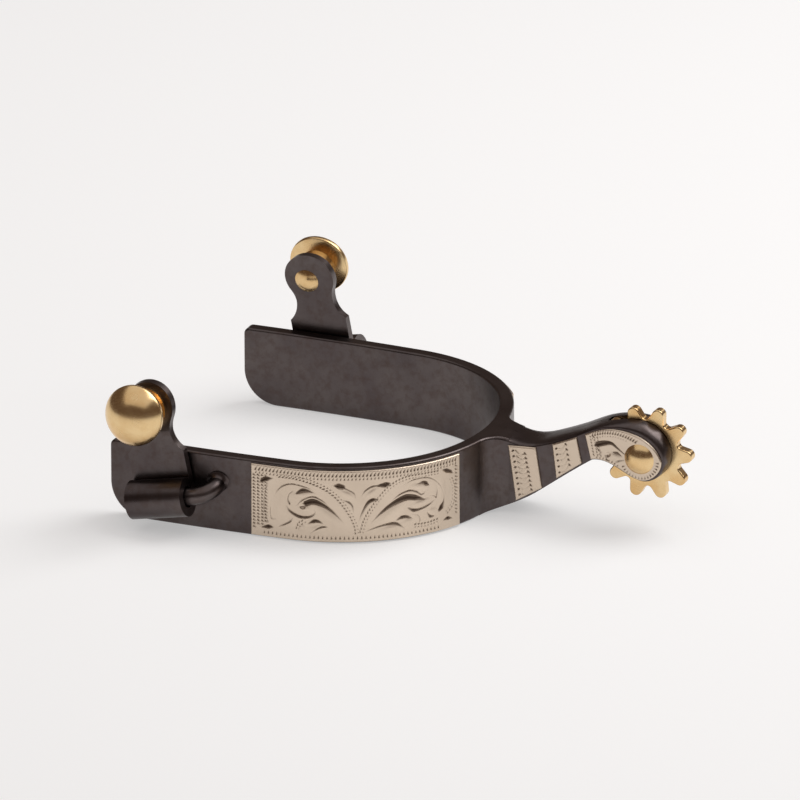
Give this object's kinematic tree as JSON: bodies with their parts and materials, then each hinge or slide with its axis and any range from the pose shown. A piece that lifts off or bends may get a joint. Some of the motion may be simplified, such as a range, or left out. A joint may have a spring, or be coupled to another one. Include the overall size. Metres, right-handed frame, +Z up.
{
  "type": "western show spur",
  "caption": "U-shaped heel band with a forged shank, engraved silver overlays, a spinning brass rowel and swinging strap hangers with domed brass buttons.",
  "frame": {"origin": "middle of the whole spur in plan, at the band's bottom edge", "axes": "+X from the toe ends of the arms towards the rowel, +Y to the right-hand arm seen from behind the heel, +Z up"},
  "size_m": [0.1385, 0.1158, 0.0429],
  "materials": {
    "browned_steel": "antique brown, satin",
    "engraved_silver": "hand-engraved nickel silver, satin ground with bright cuts",
    "brass": "polished, lightly lacquered"
  },
  "bodies": {
    "spur_frame": {"heel_band": "browned_steel", "rowel_pin": "brass", "left_band_plate": "engraved_silver", "left_front_strip": "engraved_silver", "left_rear_strip": "engraved_silver", "left_ear_plate": "engraved_silver", "left_staple": "browned_steel", "right_band_plate": "engraved_silver", "right_front_strip": "engraved_silver", "right_rear_strip": "engraved_silver", "right_ear_plate": "engraved_silver", "right_staple": "browned_steel"},
    "rowel": {"rowel": "brass"},
    "left_hanger": {"left_hanger": "browned_steel", "left_button": "brass"},
    "right_hanger": {"right_hanger": "browned_steel", "right_button": "brass"}
  },
  "joints": [
    {"name": "rowel_spin", "type": "hinge", "parent": "spur_frame", "child": "rowel", "pos_m": [0.05716, 0, 0.01965], "axis": [0, 1, 0], "continuous": true},
    {"name": "left_hanger_swing", "type": "hinge", "parent": "spur_frame", "child": "left_hanger", "pos_m": [-0.05324, -0.0495, 0.0086], "axis": [0.981, 0, 0.1942], "range_deg": [-3, 178]},
    {"name": "right_hanger_swing", "type": "hinge", "parent": "spur_frame", "child": "right_hanger", "pos_m": [-0.04864, 0.0495, 0.0125], "axis": [-0.9848, 0, -0.1736], "range_deg": [-1, 180]}
  ]
}
